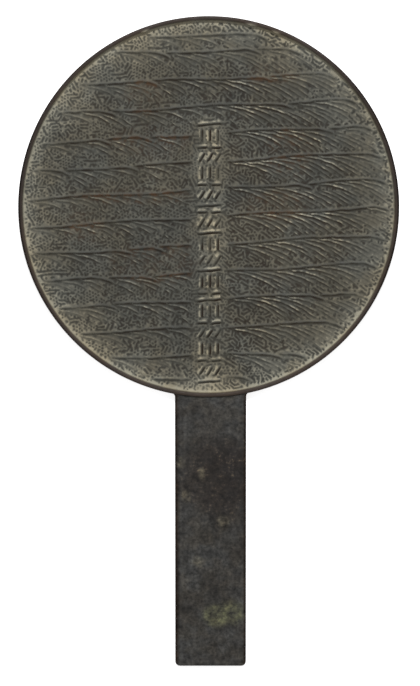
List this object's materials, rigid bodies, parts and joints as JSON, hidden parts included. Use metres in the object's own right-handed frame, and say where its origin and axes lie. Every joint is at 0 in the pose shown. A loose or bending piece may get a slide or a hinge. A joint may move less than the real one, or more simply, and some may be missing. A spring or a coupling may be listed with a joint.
{
  "type": "handled bronze mirror",
  "caption": "Round cast bronze hand mirror with a raised rim, a wave-row relief on its back and a flat straight handle, lying on its polished face.",
  "frame": {"origin": "centre of the disc on the polished reflecting face, which is the underside it lies on", "axes": "+Z out of the decorated back, +Y from the handle towards the disc, the handle runs along -Y"},
  "size_m": [0.121, 0.2063, 0.0036],
  "materials": {
    "bronze": "dark olive-brown patina on cast bronze, the reflecting face polished and dulled by age"
  },
  "bodies": {
    "root": {"bronze_mirror": "bronze"}
  },
  "joints": []
}
